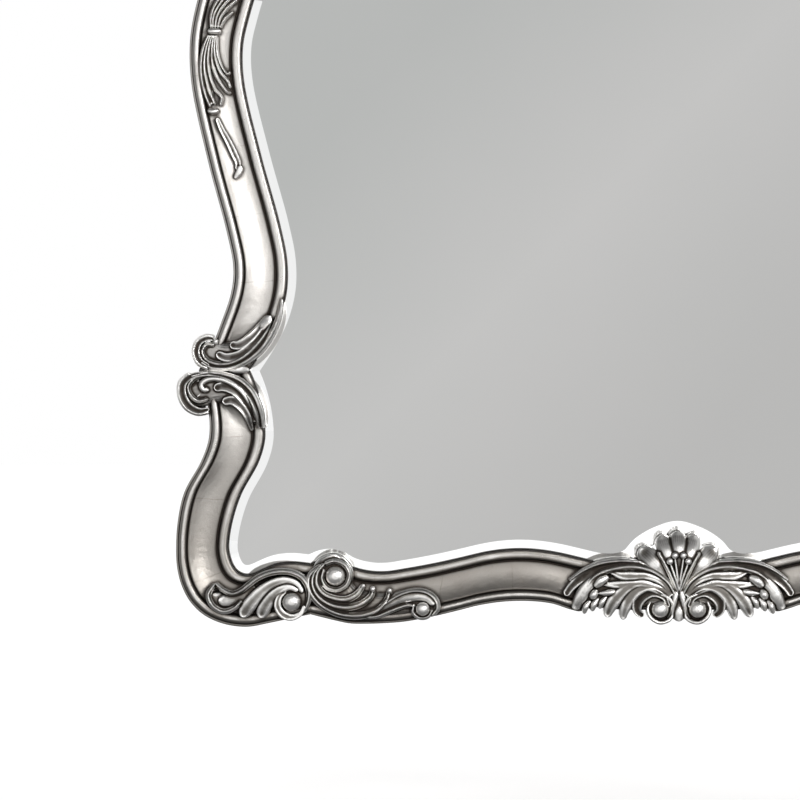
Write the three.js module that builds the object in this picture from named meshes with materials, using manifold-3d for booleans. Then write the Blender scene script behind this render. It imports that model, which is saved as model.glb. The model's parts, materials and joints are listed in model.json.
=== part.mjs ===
// Rococo wall mirror: a carved and silvered wooden frame in six joined lengths, applied carved ornaments, a
// bevelled and silvered glass, a felt strip, a backing board held by turn buttons, and the wall fittings.
// Millimetres, +Z up. The front faces -Y and the wall is the plane y = 0. The origin lies on the wall, on the
// centre line, at the height where the raised hanging rings bear on their hooks.
import * as THREE from 'three';
import { mergeVertices } from 'three/addons/utils/BufferGeometryUtils.js';
import Module from 'manifold-3d';

const wasm = await Module();
wasm.setup();

// ---- driving dimensions -------------------------------------------------------------------------------------
const WALL_GAP = 10;             // wall to the back face of the frame, set by the bumpers
const FIT = 0.3;                 // clearance left wherever two pieces meet
const MOULDING_WIDTH = 61;       // sight edge to outer edge
const REBATE_WIDTH = 10;
const REBATE_DEPTH = 10.8;
const BOARD_THICKNESS = 4;
const GLASS_THICKNESS = 5;
const GLASS_EDGE_THICKNESS = 2.5;
const GLASS_TUCK = 7;            // glass hidden behind the sight edge
const BOARD_TUCK = 6;
const BEVEL_SHOWING = 12;        // bevel seen inside the sight edge
const FELT_FROM = 1;             // felt strip, measured outwards from the sight edge
const FELT_TO = 6.5;
const FELT_THICKNESS = 2.3;
const ORNAMENT_BACK = 12;        // depths in front of the back face of the frame
const ORNAMENT_FRONT = 44;
const ORNAMENT_STEPS = 1.7;      // outline intervals for each point given
const SCREW_RADIUS = 1.5;
const SCREW_LENGTH = 11;
const SCREW_HEAD_RADIUS = 3.5;
const SCREW_HEAD_HEIGHT = 2;
const SCREW_CROWN_RADIUS = 2.2;  // flat top of the domed head
const SCREW_RIM_HEIGHT = 0.8;    // where the dome begins
const SCREW_POINT = 2;           // length of the pointed end
const THROUGH = 24;              // length of a tool that cuts right through a hole
const ROUND_SIDES = 8;           // sides of small round pieces and holes
const PLATE_THICKNESS = 1.5;     // turn buttons and hanger straps
const BUTTON_WIDTH = 12;
const BUTTON_REACH = 25;         // pivot to the rounded tip
const BUTTON_INSET = 16;         // pivot outside the sight edge
const STRAP_WIDTH = 14;
const STRAP_LENGTH = 52;
const EYE_RADIUS = 3.1;
const EYE_BORE = 2;
const EYE_SETBACK = 4.6;         // eye axis behind the back face of the frame
const RING_WIRE = 1.5;           // wire radius
const RING_WIDTH = 24;           // between wire centres
const RING_DROP = 19.5;          // eye axis to the wire centre of the bow
const RING_CORNER = 3;           // bend from the bar into the bow
const RING_NECK = 2;             // straight run below each bend
const RING_STEP = 0.5;           // points of the bow closer than this are one point
const RING_BENDS = 5;            // intervals along each bend and along the bow
const EYE_SIDES = 12;
const HANGER_OFFSET = 552;       // hanger from the centre line
const HANGER_SCREW_DROPS = [28, 44];
const BUMPER_RADIUS = 9;
const BUMPER_SIDES = 16;
const BUMPER_SPOTS = [['top', 535, 64], ['bottom', 569, -641]];   // [row, offset, height]
const DOWEL_RADIUS = 4;
const DOWEL_LENGTH = 36;
const DOWEL_DEPTH = 8;           // dowel axis in front of the back face

// Moulding section as [distance out from the sight edge, depth in front of the back face].
const MOULDING_PROFILE = [
  [REBATE_WIDTH, 0], [MOULDING_WIDTH, 0], [MOULDING_WIDTH, 24], [59, 30], [55, 32], [51, 30], [49, 26],
  [38, 19.5], [18, 15.2], [13, 13], [9, 17], [4.5, 18.5], [0, 15.5], [0, REBATE_DEPTH],
  [REBATE_WIDTH, REBATE_DEPTH],
];
// The same face raised by a little over the clearance: what is cut from the back of the ornaments.
const SEAT_PROFILE = [
  [-0.6, -1], [61.8, -1], [61.8, 24], [59.6, 30.6], [55, 32.8], [50.4, 30.7], [48.5, 26.6],
  [38, 20.3], [18, 16.3], [13, 14.1], [9, 17.7], [4.5, 19.3], [-0.6, 16.4],
];

// Stations along the frame as [sight offset, sight height, outer offset, outer height]; offsets are measured
// from the centre line. Each table runs from one joint of the frame to the next.
const UPPER_STILE = [
  [482, 104, 540, 126], [504, 58, 567, 66], [519, 8, 582, 12], [525, -28, 586, -28], [519, -84, 580, -90],
  [487, -204, 549, -214], [473, -262, 535, -272], [470, -300, 534, -304], [478, -340, 546, -345],
  [494, -374, 561, -384], [516, -408, 575, -408],
];
const LOWER_STILE = [
  [516, -408, 575, -408], [505, -436, 566, -440], [498, -474, 562, -478], [500, -505, 567, -506],
  [529, -564, 595, -562], [541, -616, 602, -618], [538, -636, 600, -650], [530, -650, 588, -682],
  [516, -655, 562, -706], [498, -648, 520, -716], [474, -640, 480, -709], [441, -642, 441, -701],
];
const BOTTOM_RAIL = [
  [441, -642, 441, -701], [417, -634, 417, -707], [393, -645, 393, -712], [362, -652, 362, -712],
  [325, -648, 330, -710], [273, -638, 282, -701], [230, -628, 238, -690], [195, -624, 195, -685],
  [160, -626, 152, -688], [128, -632, 120, -698], [93, -640, 88, -703], [60, -637, 56, -706],
  [46, -622, 30, -708], [24, -608, 12, -709], [0, -601, 0, -710],
];
const TOP_RAIL = [
  [482, 104, 540, 126], [450, 128, 492, 172], [405, 143, 428, 200], [350, 150, 360, 211],
  [290, 155, 285, 216], [230, 168, 215, 228], [170, 192, 150, 251], [110, 218, 95, 279], [60, 232, 60, 291],
  [0, 238, 0, 297],
];
const STEPS = { upper: 11, lower: 17, bottom: 21, top: 11 };   // intervals in each length

// Ornament silhouettes as [offset, height], for one side of the frame. The shell is a half outline.
const SHELL = [
  [0, -717], [9, -712], [13, -705], [26, -706], [35, -697], [34, -684], [24, -674], [30, -656], [47, -638],
  [48, -626], [34, -619], [24, -608], [10, -604], [0, -601],
];
const WING = [
  [40, -652], [56, -640], [75, -637], [95, -641], [115, -649], [132, -660], [139, -672], [134, -686],
  [116, -699], [92, -703], [76, -700], [66, -708], [52, -703], [40, -704], [38, -678],
];
const RAIL_SCROLL = [
  [437, -690], [440, -668], [433, -643], [416, -633], [397, -638], [389, -660], [366, -673], [340, -675],
  [312, -672], [292, -682], [293, -700], [320, -699], [352, -703], [390, -707], [422, -699],
];
const CORNER_LEAF = [
  [444, -690], [446, -662], [464, -648], [488, -648], [508, -659], [532, -673], [556, -663], [564, -678],
  [556, -694], [528, -708], [512, -702], [498, -708], [482, -698], [464, -705], [450, -700],
];
const LOWER_CLASP = [
  [562, -463], [582, -461], [596, -448], [599, -432], [590, -415], [570, -410], [540, -412], [518, -426],
  [504, -448], [501, -476], [508, -492], [524, -460], [542, -449], [555, -453],
];
const UPPER_CLASP = [
  [556, -380], [568, -371], [579, -380], [578, -396], [564, -405], [540, -406], [516, -394], [492, -365],
  [479, -334], [477, -312], [488, -330], [508, -357], [530, -369], [545, -374],
];
const HUSK = [
  [566, 4], [558, 28], [542, 48], [524, 66], [516, 60], [528, 40], [541, 18], [547, -6], [546, -30],
  [531, -66], [536, -88], [550, -101], [564, -101], [568, -80], [574, -44], [573, -14],
];
const RIBBON = [
  [562, -104], [549, -104], [538, -126], [523, -154], [523, -172], [530, -181], [538, -168], [540, -146],
  [552, -124],
];
const SHOULDER_SCROLL = [
  [556, 92], [566, 106], [562, 124], [544, 138], [516, 148], [482, 166], [446, 186], [424, 192], [430, 174],
  [462, 146], [482, 126], [490, 100], [506, 84], [528, 80],
];
// The crest repeats the bottom shell and wings, larger, and its wings droop with the top rail.
const CREST_SCALE = 1.3;
const CREST_STEM = 275;
const SHELL_STEM = -672;
const CREST_DROOP = 0.22;

// ---- materials ----------------------------------------------------------------------------------------------
const silverLeaf = () => new THREE.MeshStandardMaterial({ color: 0xb5b0aa, roughness: 0.4, metalness: 0.9 });
const mirrorGlass = () => new THREE.MeshStandardMaterial({ color: 0xd8dadb, roughness: 0.03, metalness: 1 });
const brownBoard = () => new THREE.MeshStandardMaterial({ color: 0x6e4f35, roughness: 0.8, metalness: 0 });
const darkFelt = () => new THREE.MeshStandardMaterial({ color: 0x2a2826, roughness: 0.95, metalness: 0 });
const paleWood = () => new THREE.MeshStandardMaterial({ color: 0xc9a878, roughness: 0.65, metalness: 0 });
const zincSteel = () => new THREE.MeshStandardMaterial({ color: 0xa8abad, roughness: 0.4, metalness: 0.9 });
const brassPlate = () => new THREE.MeshStandardMaterial({ color: 0xc2a05a, roughness: 0.35, metalness: 0.9 });
const blackRubber = () => new THREE.MeshStandardMaterial({ color: 0x1f1f1f, roughness: 0.85, metalness: 0 });

// ---- geometry helpers ---------------------------------------------------------------------------------------
const yAt = (depth) => -(WALL_GAP + depth);

function smooth(points, intervals, closed = false) {
  const knots = points.map(([u, v]) => new THREE.Vector3(u, v, 0));
  const curve = new THREE.CatmullRomCurve3(knots, closed, 'centripetal');
  const found = curve.getPoints(intervals).map((p) => [p.x, p.y]);
  return closed ? found.slice(0, -1) : found;
}

function signedVolume(position, index) {
  const [a, b, c] = [new THREE.Vector3(), new THREE.Vector3(), new THREE.Vector3()];
  let six = 0;
  for (let i = 0; i < index.length; i += 3) {
    a.fromBufferAttribute(position, index[i]);
    b.fromBufferAttribute(position, index[i + 1]);
    c.fromBufferAttribute(position, index[i + 2]);
    six += a.dot(b.cross(c));
  }
  return six / 6;
}

// Welds shared corners, drops collapsed triangles and turns the faces outwards.
function weld(geometry) {
  const bare = new THREE.BufferGeometry();
  bare.setAttribute('position', geometry.getAttribute('position').clone());
  if (geometry.index) bare.setIndex(geometry.index.clone());
  const merged = mergeVertices(bare, 1e-4);
  const old = merged.index.array;
  const kept = [];
  for (let i = 0; i < old.length; i += 3) {
    const [a, b, c] = [old[i], old[i + 1], old[i + 2]];
    if (a !== b && b !== c && c !== a) kept.push(a, b, c);
  }
  if (signedVolume(merged.getAttribute('position'), kept) < 0) kept.reverse();
  merged.setIndex(kept);
  merged.computeVertexNormals();
  return merged;
}

function toManifold(geometry) {
  const welded = weld(geometry);
  const vertProperties = new Float32Array(welded.getAttribute('position').array);
  const triVerts = new Uint32Array(welded.index.array);
  return new wasm.Manifold(new wasm.Mesh({ numProp: 3, vertProperties, triVerts }));
}

function fromManifold(solid) {
  const mesh = solid.getMesh();
  const geometry = new THREE.BufferGeometry();
  geometry.setAttribute('position', new THREE.BufferAttribute(new Float32Array(mesh.vertProperties), 3));
  geometry.setIndex(new THREE.BufferAttribute(new Uint32Array(mesh.triVerts), 1));
  return weld(geometry);
}

const cut = (geometry, tools) => fromManifold(
  tools.reduce((solid, tool) => solid.subtract(toManifold(tool)), toManifold(geometry)));

// Joins rings of equal length into one body, with flat ends or closed on itself.
function loft(rings, closed) {
  const size = rings[0].length;
  const vertices = rings.flat(2);
  const index = [];
  const spans = closed ? rings.length : rings.length - 1;
  for (let r = 0; r < spans; r += 1) {
    const near = r * size;
    const far = ((r + 1) % rings.length) * size;
    for (let k = 0; k < size; k += 1) {
      const next = (k + 1) % size;
      index.push(near + k, far + k, far + next, near + k, far + next, near + next);
    }
  }
  return { vertices, index, size };
}

function body({ vertices, index }) {
  const geometry = new THREE.BufferGeometry();
  geometry.setAttribute('position', new THREE.Float32BufferAttribute(vertices, 3));
  geometry.setIndex(index);
  return weld(geometry);
}

// Triangles filling a flat outline, turned the same way round as the outline itself.
function fill(flat) {
  const outlineTurn = Math.sign(THREE.ShapeUtils.area(flat));
  return THREE.ShapeUtils.triangulateShape([...flat], []).map(([a, b, c]) => {
    const turn = Math.sign(THREE.ShapeUtils.area([flat[a], flat[b], flat[c]]));
    return turn === outlineTurn ? [a, b, c] : [c, b, a];
  });
}

// A loft closed at both ends; flatten turns a point of a ring into the plane of the end faces.
function capped(rings, flatten) {
  const skin = loft(rings, false);
  const lastStart = (rings.length - 1) * skin.size;
  for (const [a, b, c] of fill(rings[0].map(flatten))) skin.index.push(a, b, c);
  for (const [a, b, c] of fill(rings.at(-1).map(flatten))) {
    skin.index.push(lastStart + c, lastStart + b, lastStart + a);
  }
  return body(skin);
}

// One length of moulding: the section repeated at each station.
function mouldingLength(stations) {
  const section = MOULDING_PROFILE.map(([out, depth]) => new THREE.Vector2(out, depth));
  const rings = stations.map((station) => MOULDING_PROFILE.map(([out, depth]) => place(station, out, depth)));
  return capped(rings, (_, k) => section[k]);
}

// Point at a distance out from the sight edge of a station, at a depth in front of the frame's back.
function place({ sight, outer }, out, depth) {
  const share = out / MOULDING_WIDTH;
  const x = sight[0] + (outer[0] - sight[0]) * share;
  const z = sight[1] + (outer[1] - sight[1]) * share;
  return [x, yAt(depth), z];
}

// The same point measured in true millimetres, whatever the width of the moulding is there.
function placeTrue(station, out, depth) {
  const { sight, outer } = station;
  const width = Math.hypot(outer[0] - sight[0], outer[1] - sight[1]);
  return place(station, out * MOULDING_WIDTH / width, depth);
}

function stationsOf(table, intervals, side) {
  const sight = smooth(table.map(([a, z]) => [a, z]), intervals);
  const outer = smooth(table.map(([, , a, z]) => [a, z]), intervals);
  return sight.map((p, i) => ({ sight: [side * p[0], p[1]], outer: [side * outer[i][0], outer[i][1]] }));
}

// Pulls an end station back by half the joint gap.
function trimmed(stations, atStart, atEnd) {
  const list = stations.map(({ sight, outer }) => ({ sight: [...sight], outer: [...outer] }));
  const pull = (end, next) => {
    for (const edge of ['sight', 'outer']) {
      const step = [next[edge][0] - end[edge][0], next[edge][1] - end[edge][1]];
      const share = (FIT / 2) / Math.hypot(...step);
      end[edge] = [end[edge][0] + step[0] * share, end[edge][1] + step[1] * share];
    }
  };
  if (atStart) pull(list[0], list[1]);
  if (atEnd) pull(list.at(-1), list.at(-2));
  return list;
}

const across = (table, intervals) => [
  ...stationsOf(table, intervals, -1), ...stationsOf(table, intervals, 1).reverse().slice(1)];

// All stations in one loop: down the left side, along the bottom, up the right side and along the top.
function frameLoop() {
  const left = [
    ...stationsOf(UPPER_STILE, STEPS.upper, -1).slice(0, -1),
    ...stationsOf(LOWER_STILE, STEPS.lower, -1).slice(0, -1),
    ...stationsOf(BOTTOM_RAIL, STEPS.bottom, -1),
  ];
  const top = stationsOf(TOP_RAIL, STEPS.top, -1).slice(1).reverse();
  const mirrored = ({ sight, outer }) => ({ sight: [-sight[0], sight[1]], outer: [-outer[0], outer[1]] });
  const right = left.slice(0, -1).map(mirrored).reverse();
  return [...left, ...right, ...top.slice(1).map(mirrored).reverse(), ...top];
}

function cylinderAlong(axis, radius, length, sides, centre) {
  const geometry = new THREE.CylinderGeometry(radius, radius, length, sides);
  if (axis === 'x') geometry.rotateZ(Math.PI / 2);
  if (axis === 'z') geometry.rotateX(Math.PI / 2);
  return geometry.translate(...centre);
}

// ---- frame --------------------------------------------------------------------------------------------------
const loop = frameLoop();
const seat = body(loft(loop.map((s) => SEAT_PROFILE.map(([out, depth]) => place(s, out, depth))), true));

const stationNear = (test) => loop.reduce((best, s) => (test(s) < test(best) ? s : best));

function middle({ sight, outer }, out) {
  const [x, , z] = placeTrue({ sight, outer }, out, 0);
  return [x, z];
}

// Dowels cross the joints of the frame; tilt turns each one from upright.
const [shoulderSight, shoulderOuter] = [TOP_RAIL[0].slice(0, 2), TOP_RAIL[0].slice(2)];
const shoulderMiddle = shoulderSight.map((v, i) => (v + shoulderOuter[i]) / 2);
const shoulderTilt = Math.atan2(shoulderOuter[1] - shoulderSight[1], shoulderOuter[0] - shoulderSight[0]);
const DOWELS = [
  { name: 'shoulder', at: shoulderMiddle, tilt: shoulderTilt },
  { name: 'clasp', at: [546, -408], tilt: 0 },
  { name: 'corner', at: [441, -671], tilt: Math.PI / 2 },
];

// A dowel or its bore: a cylinder in the plane of the frame, turned from upright by the tilt.
function dowelShape({ at, tilt }, side, radius, length) {
  const geometry = new THREE.CylinderGeometry(radius, radius, length, ROUND_SIDES);
  geometry.rotateX(Math.PI / 2);
  geometry.rotateY(-side * tilt);
  return geometry.translate(side * at[0], yAt(DOWEL_DEPTH), at[1]);
}

const boresOn = (side, names) => DOWELS.filter(({ name }) => names.includes(name))
  .map((dowel) => dowelShape(dowel, side, DOWEL_RADIUS + FIT, DOWEL_LENGTH + 2 * FIT));

// ---- fittings on the back -----------------------------------------------------------------------------------
// Turn buttons: the station of the frame that each one stands at.
const BUTTON_STATIONS = [
  ['bottom', 225, -660], ['side', 515, -210], ['top', 255, 190],
];

function buttonPlace(side, [, offset, height]) {
  const station = stationNear(({ sight, outer }) => Math.hypot(
    (sight[0] + outer[0]) / 2 - side * offset, (sight[1] + outer[1]) / 2 - height));
  const [x, z] = middle(station, BUTTON_INSET);
  const [towardX, towardZ] = middle(station, 0);
  return { x, z, heading: Math.atan2(towardZ - z, towardX - x) };
}

// A screw along Y: its head behind the frame's back at the given seat, its shank running into the wood.
function screwShape(seatDepth) {
  const profile = [
    [0, -SCREW_HEAD_HEIGHT], [SCREW_CROWN_RADIUS, -SCREW_HEAD_HEIGHT],
    [SCREW_HEAD_RADIUS, -SCREW_RIM_HEIGHT], [SCREW_HEAD_RADIUS, 0],
    [SCREW_RADIUS, 0], [SCREW_RADIUS, SCREW_LENGTH - SCREW_POINT], [0, SCREW_LENGTH],
  ].map(([radius, along]) => new THREE.Vector2(radius, -along));
  return new THREE.LatheGeometry(profile, ROUND_SIDES).translate(0, yAt(seatDepth), 0);
}

const pilotHole = (x, z) => cylinderAlong('y', SCREW_RADIUS + FIT, THROUGH, ROUND_SIDES, [x, yAt(0), z]);

function buttonShape() {
  const radius = BUTTON_WIDTH / 2;
  const outline = new THREE.Shape();
  outline.absarc(0, 0, radius, Math.PI / 2, 1.5 * Math.PI, false);
  outline.absarc(BUTTON_REACH - radius, 0, radius, -Math.PI / 2, Math.PI / 2, false);
  const hole = new THREE.Path();
  hole.absarc(0, 0, SCREW_RADIUS + FIT, 0, 2 * Math.PI, true);
  outline.holes.push(hole);
  const plate = new THREE.ExtrudeGeometry(outline, {
    depth: PLATE_THICKNESS, bevelEnabled: false, curveSegments: 5,
  });
  return plate.rotateX(Math.PI / 2).translate(0, PLATE_THICKNESS, 0);
}

// The strap is a plate with a rolled eye along its top edge; its origin is the axis of the eye.
function strapShape() {
  const back = EYE_SETBACK - FIT - PLATE_THICKNESS;
  const plate = new THREE.BoxGeometry(STRAP_WIDTH, PLATE_THICKNESS, STRAP_LENGTH);
  plate.translate(0, -(back + PLATE_THICKNESS / 2), -STRAP_LENGTH / 2);
  const eye = cylinderAlong('x', EYE_RADIUS, STRAP_WIDTH, EYE_SIDES, [0, 0, 0]);
  const bore = cylinderAlong('x', EYE_BORE, THROUGH, EYE_SIDES, [0, 0, 0]);
  const holes = HANGER_SCREW_DROPS.map((drop) => (
    cylinderAlong('y', SCREW_RADIUS + FIT, THROUGH, ROUND_SIDES, [0, 0, -drop])));
  const joined = fromManifold(toManifold(plate).add(toManifold(eye)));
  return cut(joined, [bore, ...holes]);
}

// D-shaped ring hanging from its straight bar, which runs along X through the eye.
function ringShape() {
  const half = RING_WIDTH / 2;
  const corner = RING_CORNER;
  const path = new THREE.Path();
  path.moveTo(-half + corner, 0);
  path.lineTo(half - corner, 0);
  path.absarc(half - corner, -corner, corner, Math.PI / 2, 0, true);
  path.absellipse(0, -corner - RING_NECK, half, RING_DROP - corner - RING_NECK, 0, -Math.PI, true, 0);
  path.absarc(-half + corner, -corner, corner, Math.PI, Math.PI / 2, true);
  const points = path.getPoints(RING_BENDS)
    .filter((p, i, all) => i === 0 || p.distanceTo(all[i - 1]) > RING_STEP);
  if (points[0].distanceTo(points.at(-1)) < RING_STEP) points.pop();
  const rings = points.map((p, i) => {
    const before = points.at(i - 1);
    const after = points[(i + 1) % points.length];
    const along = new THREE.Vector2().subVectors(after, before).normalize();
    return Array.from({ length: ROUND_SIDES }, (_, k) => {
      const turn = (2 * Math.PI * k) / ROUND_SIDES;
      const sideways = RING_WIRE * Math.cos(turn);
      return [p.x - along.y * sideways, RING_WIRE * Math.sin(turn), p.y + along.x * sideways];
    });
  });
  return body(loft(rings, true));
}

// ---- glass, felt and board ----------------------------------------------------------------------------------
// A slab through outlines of equal length, from the rearmost to the foremost.
const slab = (outlines) => capped(outlines, ([x, , z]) => new THREE.Vector2(x, z));

const outlineAt = (out, depth) => loop.map((station) => placeTrue(station, out, depth));

function glassShape() {
  const back = BOARD_THICKNESS + FIT;
  return slab([
    outlineAt(GLASS_TUCK, back), outlineAt(GLASS_TUCK, back + GLASS_EDGE_THICKNESS),
    outlineAt(-BEVEL_SHOWING, back + GLASS_THICKNESS),
  ]);
}

const boardShape = () => slab([outlineAt(BOARD_TUCK, 0), outlineAt(BOARD_TUCK, BOARD_THICKNESS)]);

function feltShape() {
  const front = REBATE_DEPTH - FIT;
  const section = [
    [FELT_FROM, front - FELT_THICKNESS], [FELT_TO, front - FELT_THICKNESS], [FELT_TO, front],
    [FELT_FROM, front],
  ];
  return body(loft(loop.map((s) => section.map(([out, depth]) => placeTrue(s, out, depth))), true));
}

// ---- ornaments ----------------------------------------------------------------------------------------------
// A carved ornament as a plain block, its back cut to sit on the moulding with the usual clearance.
function ornament(points, side) {
  const outline = smooth(points, Math.round(points.length * ORNAMENT_STEPS), true);
  const at = (depth) => outline.map(([a, z]) => [side * a, yAt(depth), z]);
  return cut(slab([at(ORNAMENT_BACK), at(ORNAMENT_FRONT)]), [seat]);
}

const bothHalves = (half) => [...half, ...half.slice(1, -1).reverse().map(([a, z]) => [-a, z])];

const crested = (points, droop) => points.map(([a, z]) => [
  CREST_SCALE * a, CREST_STEM + CREST_SCALE * (z - SHELL_STEM - droop * a)]);

// ---- assembly -----------------------------------------------------------------------------------------------
const mirror = new THREE.Group();

function add(name, geometry, material, x = 0, y = 0, z = 0) {
  const mesh = new THREE.Mesh(geometry, material);
  mesh.name = name;
  mesh.position.set(x, y, z);
  mirror.add(mesh);
  return mesh;
}

const SIDES = [['left', -1], ['right', 1]];
const buttons = SIDES.flatMap(([word, side]) => BUTTON_STATIONS.map((row) => ({
  name: `${row[0]}_${word}`, row: row[0], side, ...buttonPlace(side, row),
})));
const buttonHoles = (row, sides) => buttons.filter((b) => b.row === row && sides.includes(b.side))
  .map(({ x, z }) => pilotHole(x, z));
const EYE_HEIGHT = -(RING_DROP - RING_WIRE);

const bottomStations = trimmed(across(BOTTOM_RAIL, STEPS.bottom), true, true);
add('bottom_rail', cut(mouldingLength(bottomStations), [
  ...boresOn(-1, ['corner']), ...boresOn(1, ['corner']), ...buttonHoles('bottom', [-1, 1]),
]), silverLeaf());
const topStations = trimmed(across(TOP_RAIL, STEPS.top), true, true);
add('top_rail', cut(mouldingLength(topStations), [
  ...boresOn(-1, ['shoulder']), ...boresOn(1, ['shoulder']), ...buttonHoles('top', [-1, 1]),
]), silverLeaf());

for (const [word, side] of SIDES) {
  const upper = trimmed(stationsOf(UPPER_STILE, STEPS.upper, side), true, true);
  const hangerHoles = HANGER_SCREW_DROPS.map((drop) => pilotHole(side * HANGER_OFFSET, EYE_HEIGHT - drop));
  add(`upper_stile_${word}`, cut(mouldingLength(upper), [
    ...boresOn(side, ['shoulder', 'clasp']), ...hangerHoles, ...buttonHoles('side', [side]),
  ]), silverLeaf());
  const lower = trimmed(stationsOf(LOWER_STILE, STEPS.lower, side), true, true);
  add(`lower_stile_${word}`, cut(mouldingLength(lower), boresOn(side, ['clasp', 'corner'])),
    silverLeaf());
  for (const dowel of DOWELS) {
    add(`${dowel.name}_dowel_${word}`, dowelShape(dowel, side, DOWEL_RADIUS, DOWEL_LENGTH), paleWood());
  }
  const carvings = {
    bottom_wing: WING, rail_scroll: RAIL_SCROLL, corner_leaf: CORNER_LEAF, lower_clasp: LOWER_CLASP,
    upper_clasp: UPPER_CLASP, husk: HUSK, ribbon: RIBBON, shoulder_scroll: SHOULDER_SCROLL,
    crest_wing: crested(WING, CREST_DROOP),
  };
  for (const [name, points] of Object.entries(carvings)) {
    add(`${name}_${word}`, ornament(points, side), silverLeaf());
  }
}
add('bottom_shell', ornament(bothHalves(SHELL), 1), silverLeaf());
add('crest_shell', ornament(crested(bothHalves(SHELL), 0), 1), silverLeaf());

add('mirror_glass', glassShape(), mirrorGlass());
add('rebate_felt', feltShape(), darkFelt());
add('backing_board', boardShape(), brownBoard());

for (const { name, x, z, heading } of buttons) {
  const plate = add(`turn_button_${name}`, weld(buttonShape()), brassPlate(), x, yAt(-FIT), z);
  plate.rotation.y = -heading;
  add(`turn_screw_${name}`, weld(screwShape(-(2 * FIT + PLATE_THICKNESS))), zincSteel(), x, 0, z);
}

for (const [word, side] of SIDES) {
  const x = side * HANGER_OFFSET;
  add(`hanger_strap_${word}`, strapShape(), zincSteel(), x, yAt(-EYE_SETBACK), EYE_HEIGHT);
  add(`hanger_ring_${word}`, ringShape(), zincSteel(), x, yAt(-EYE_SETBACK), EYE_HEIGHT);
  HANGER_SCREW_DROPS.forEach((drop, i) => {
    add(`hanger_screw_${word}_${i + 1}`, weld(screwShape(-(2 * FIT + PLATE_THICKNESS))), zincSteel(),
      x, 0, EYE_HEIGHT - drop);
  });
  const length = WALL_GAP - FIT;
  for (const [row, offset, height] of BUMPER_SPOTS) {
    const bumper = cylinderAlong('y', BUMPER_RADIUS, length, BUMPER_SIDES, [0, -length / 2, 0]);
    add(`bumper_${row}_${word}`, bumper, blackRubber(), side * offset, 0, height);
  }
}

export default mirror;
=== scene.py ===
"""Looks of the rococo wall mirror: carved and silvered frame, bevelled glass, and the fittings on its back.

Lengths are millimetres in the part's own frame, unless a name ends in _M or a section says otherwise.
Carved strokes are given for one side as (offset from the centre line, height); their depths are measured
forwards from the back face of the frame.
"""
import json
import math
from functools import partial

import bmesh
import bpy
import numpy as np
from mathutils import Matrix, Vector
from mathutils.bvhtree import BVHTree


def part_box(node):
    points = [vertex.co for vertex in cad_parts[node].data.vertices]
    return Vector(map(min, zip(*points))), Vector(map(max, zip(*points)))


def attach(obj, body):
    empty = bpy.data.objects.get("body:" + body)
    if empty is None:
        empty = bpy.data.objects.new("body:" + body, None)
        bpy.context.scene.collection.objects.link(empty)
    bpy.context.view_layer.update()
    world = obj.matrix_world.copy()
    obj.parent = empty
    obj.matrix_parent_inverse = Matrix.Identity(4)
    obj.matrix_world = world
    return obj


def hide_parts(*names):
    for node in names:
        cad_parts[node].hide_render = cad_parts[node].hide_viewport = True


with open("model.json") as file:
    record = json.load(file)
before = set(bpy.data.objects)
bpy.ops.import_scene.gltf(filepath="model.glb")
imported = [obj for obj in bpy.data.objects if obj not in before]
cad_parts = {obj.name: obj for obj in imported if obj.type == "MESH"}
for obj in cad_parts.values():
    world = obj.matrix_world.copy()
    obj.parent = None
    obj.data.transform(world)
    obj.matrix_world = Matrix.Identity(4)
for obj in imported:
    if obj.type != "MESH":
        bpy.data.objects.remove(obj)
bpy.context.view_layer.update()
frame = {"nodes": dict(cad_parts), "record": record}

MM = 0.001
BACK_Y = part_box("bottom_rail")[1][1] / MM  # back face of the frame
SIGHT_DEPTH = 15.5  # depths of two edges in the CAD moulding section
OUTER_DEPTH = 24.0
MOULDING_WIDTH = 61.0
REBATE_WIDTH = 10.0
REBATE_DEPTH = 10.8
BASE = 12.0  # depth where carved ornaments start
CARVING_GRAIN = 0.65  # size of the carving's finest facets
STATION_STEP = 3.0  # spacing of the stations along the frame
DEPTH_MATCH = 0.05  # a CAD vertex this near to an edge's depth lies on that edge
LEAST_GAP = 1.0  # CAD vertices closer than this are one station
CURVE_SAMPLES = 24  # samples of a curve between two of its given points
STROKE_STEP = 1.2  # spacing of the rings along a carved stroke
STROKE_SAMPLES = 13  # points across a stroke's surface
FOOT_DROP = 1.0  # a stroke's feet lie this much lower than its flanks' fall
NEAR_PASSES, FAR_PASSES = 10, 60  # smoothing passes of the two scales of hollow
NEAR_DEPTH, FAR_DEPTH = 0.34, 1.7  # depths that count as a full hollow at those scales
HOLLOW_LIMIT = 1.5
ROOT_BODY = "mirror"
SIDES = (("left", -1), ("right", 1))


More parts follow.
